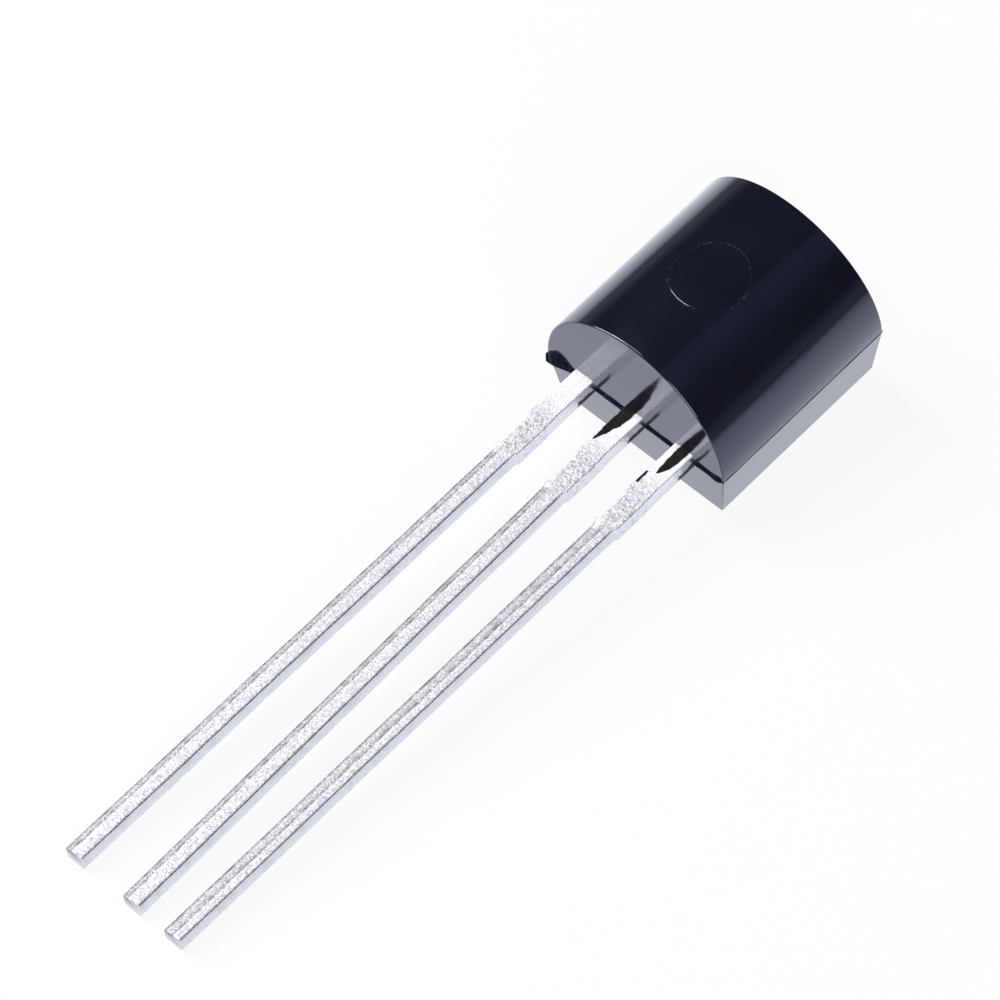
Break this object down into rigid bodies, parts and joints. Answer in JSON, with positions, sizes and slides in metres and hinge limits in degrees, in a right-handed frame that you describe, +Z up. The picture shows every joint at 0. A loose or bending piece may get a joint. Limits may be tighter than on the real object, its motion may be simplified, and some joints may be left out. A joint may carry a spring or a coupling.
{
  "type": "temperature sensor",
  "caption": "Black moulded temperature sensor, half round with a flat face, with thin straight tinned leads in one plane.",
  "frame": {"origin": "centre of the object's footprint, on the surface that it rests on", "axes": "+Y from the lead tips towards the body, +Z up; it lies on the lead-side edge of its flat face and on its lead tips"},
  "size_m": [0.0044, 0.018, 0.0039],
  "materials": {
    "moulding": "moulded epoxy, glossy",
    "lead": "matte tin plated, stamped",
    "die": "polished silicon",
    "attach": "cured silver epoxy",
    "wire": "drawn gold wire"
  },
  "bodies": {
    "root": {"moulded_body": "moulding", "lead_left": "lead", "lead_centre": "lead", "lead_right": "lead", "sensor_die": "die", "die_attach": "attach", "bond_wire_left": "wire", "bond_wire_centre": "wire", "bond_wire_right": "wire"}
  },
  "joints": []
}
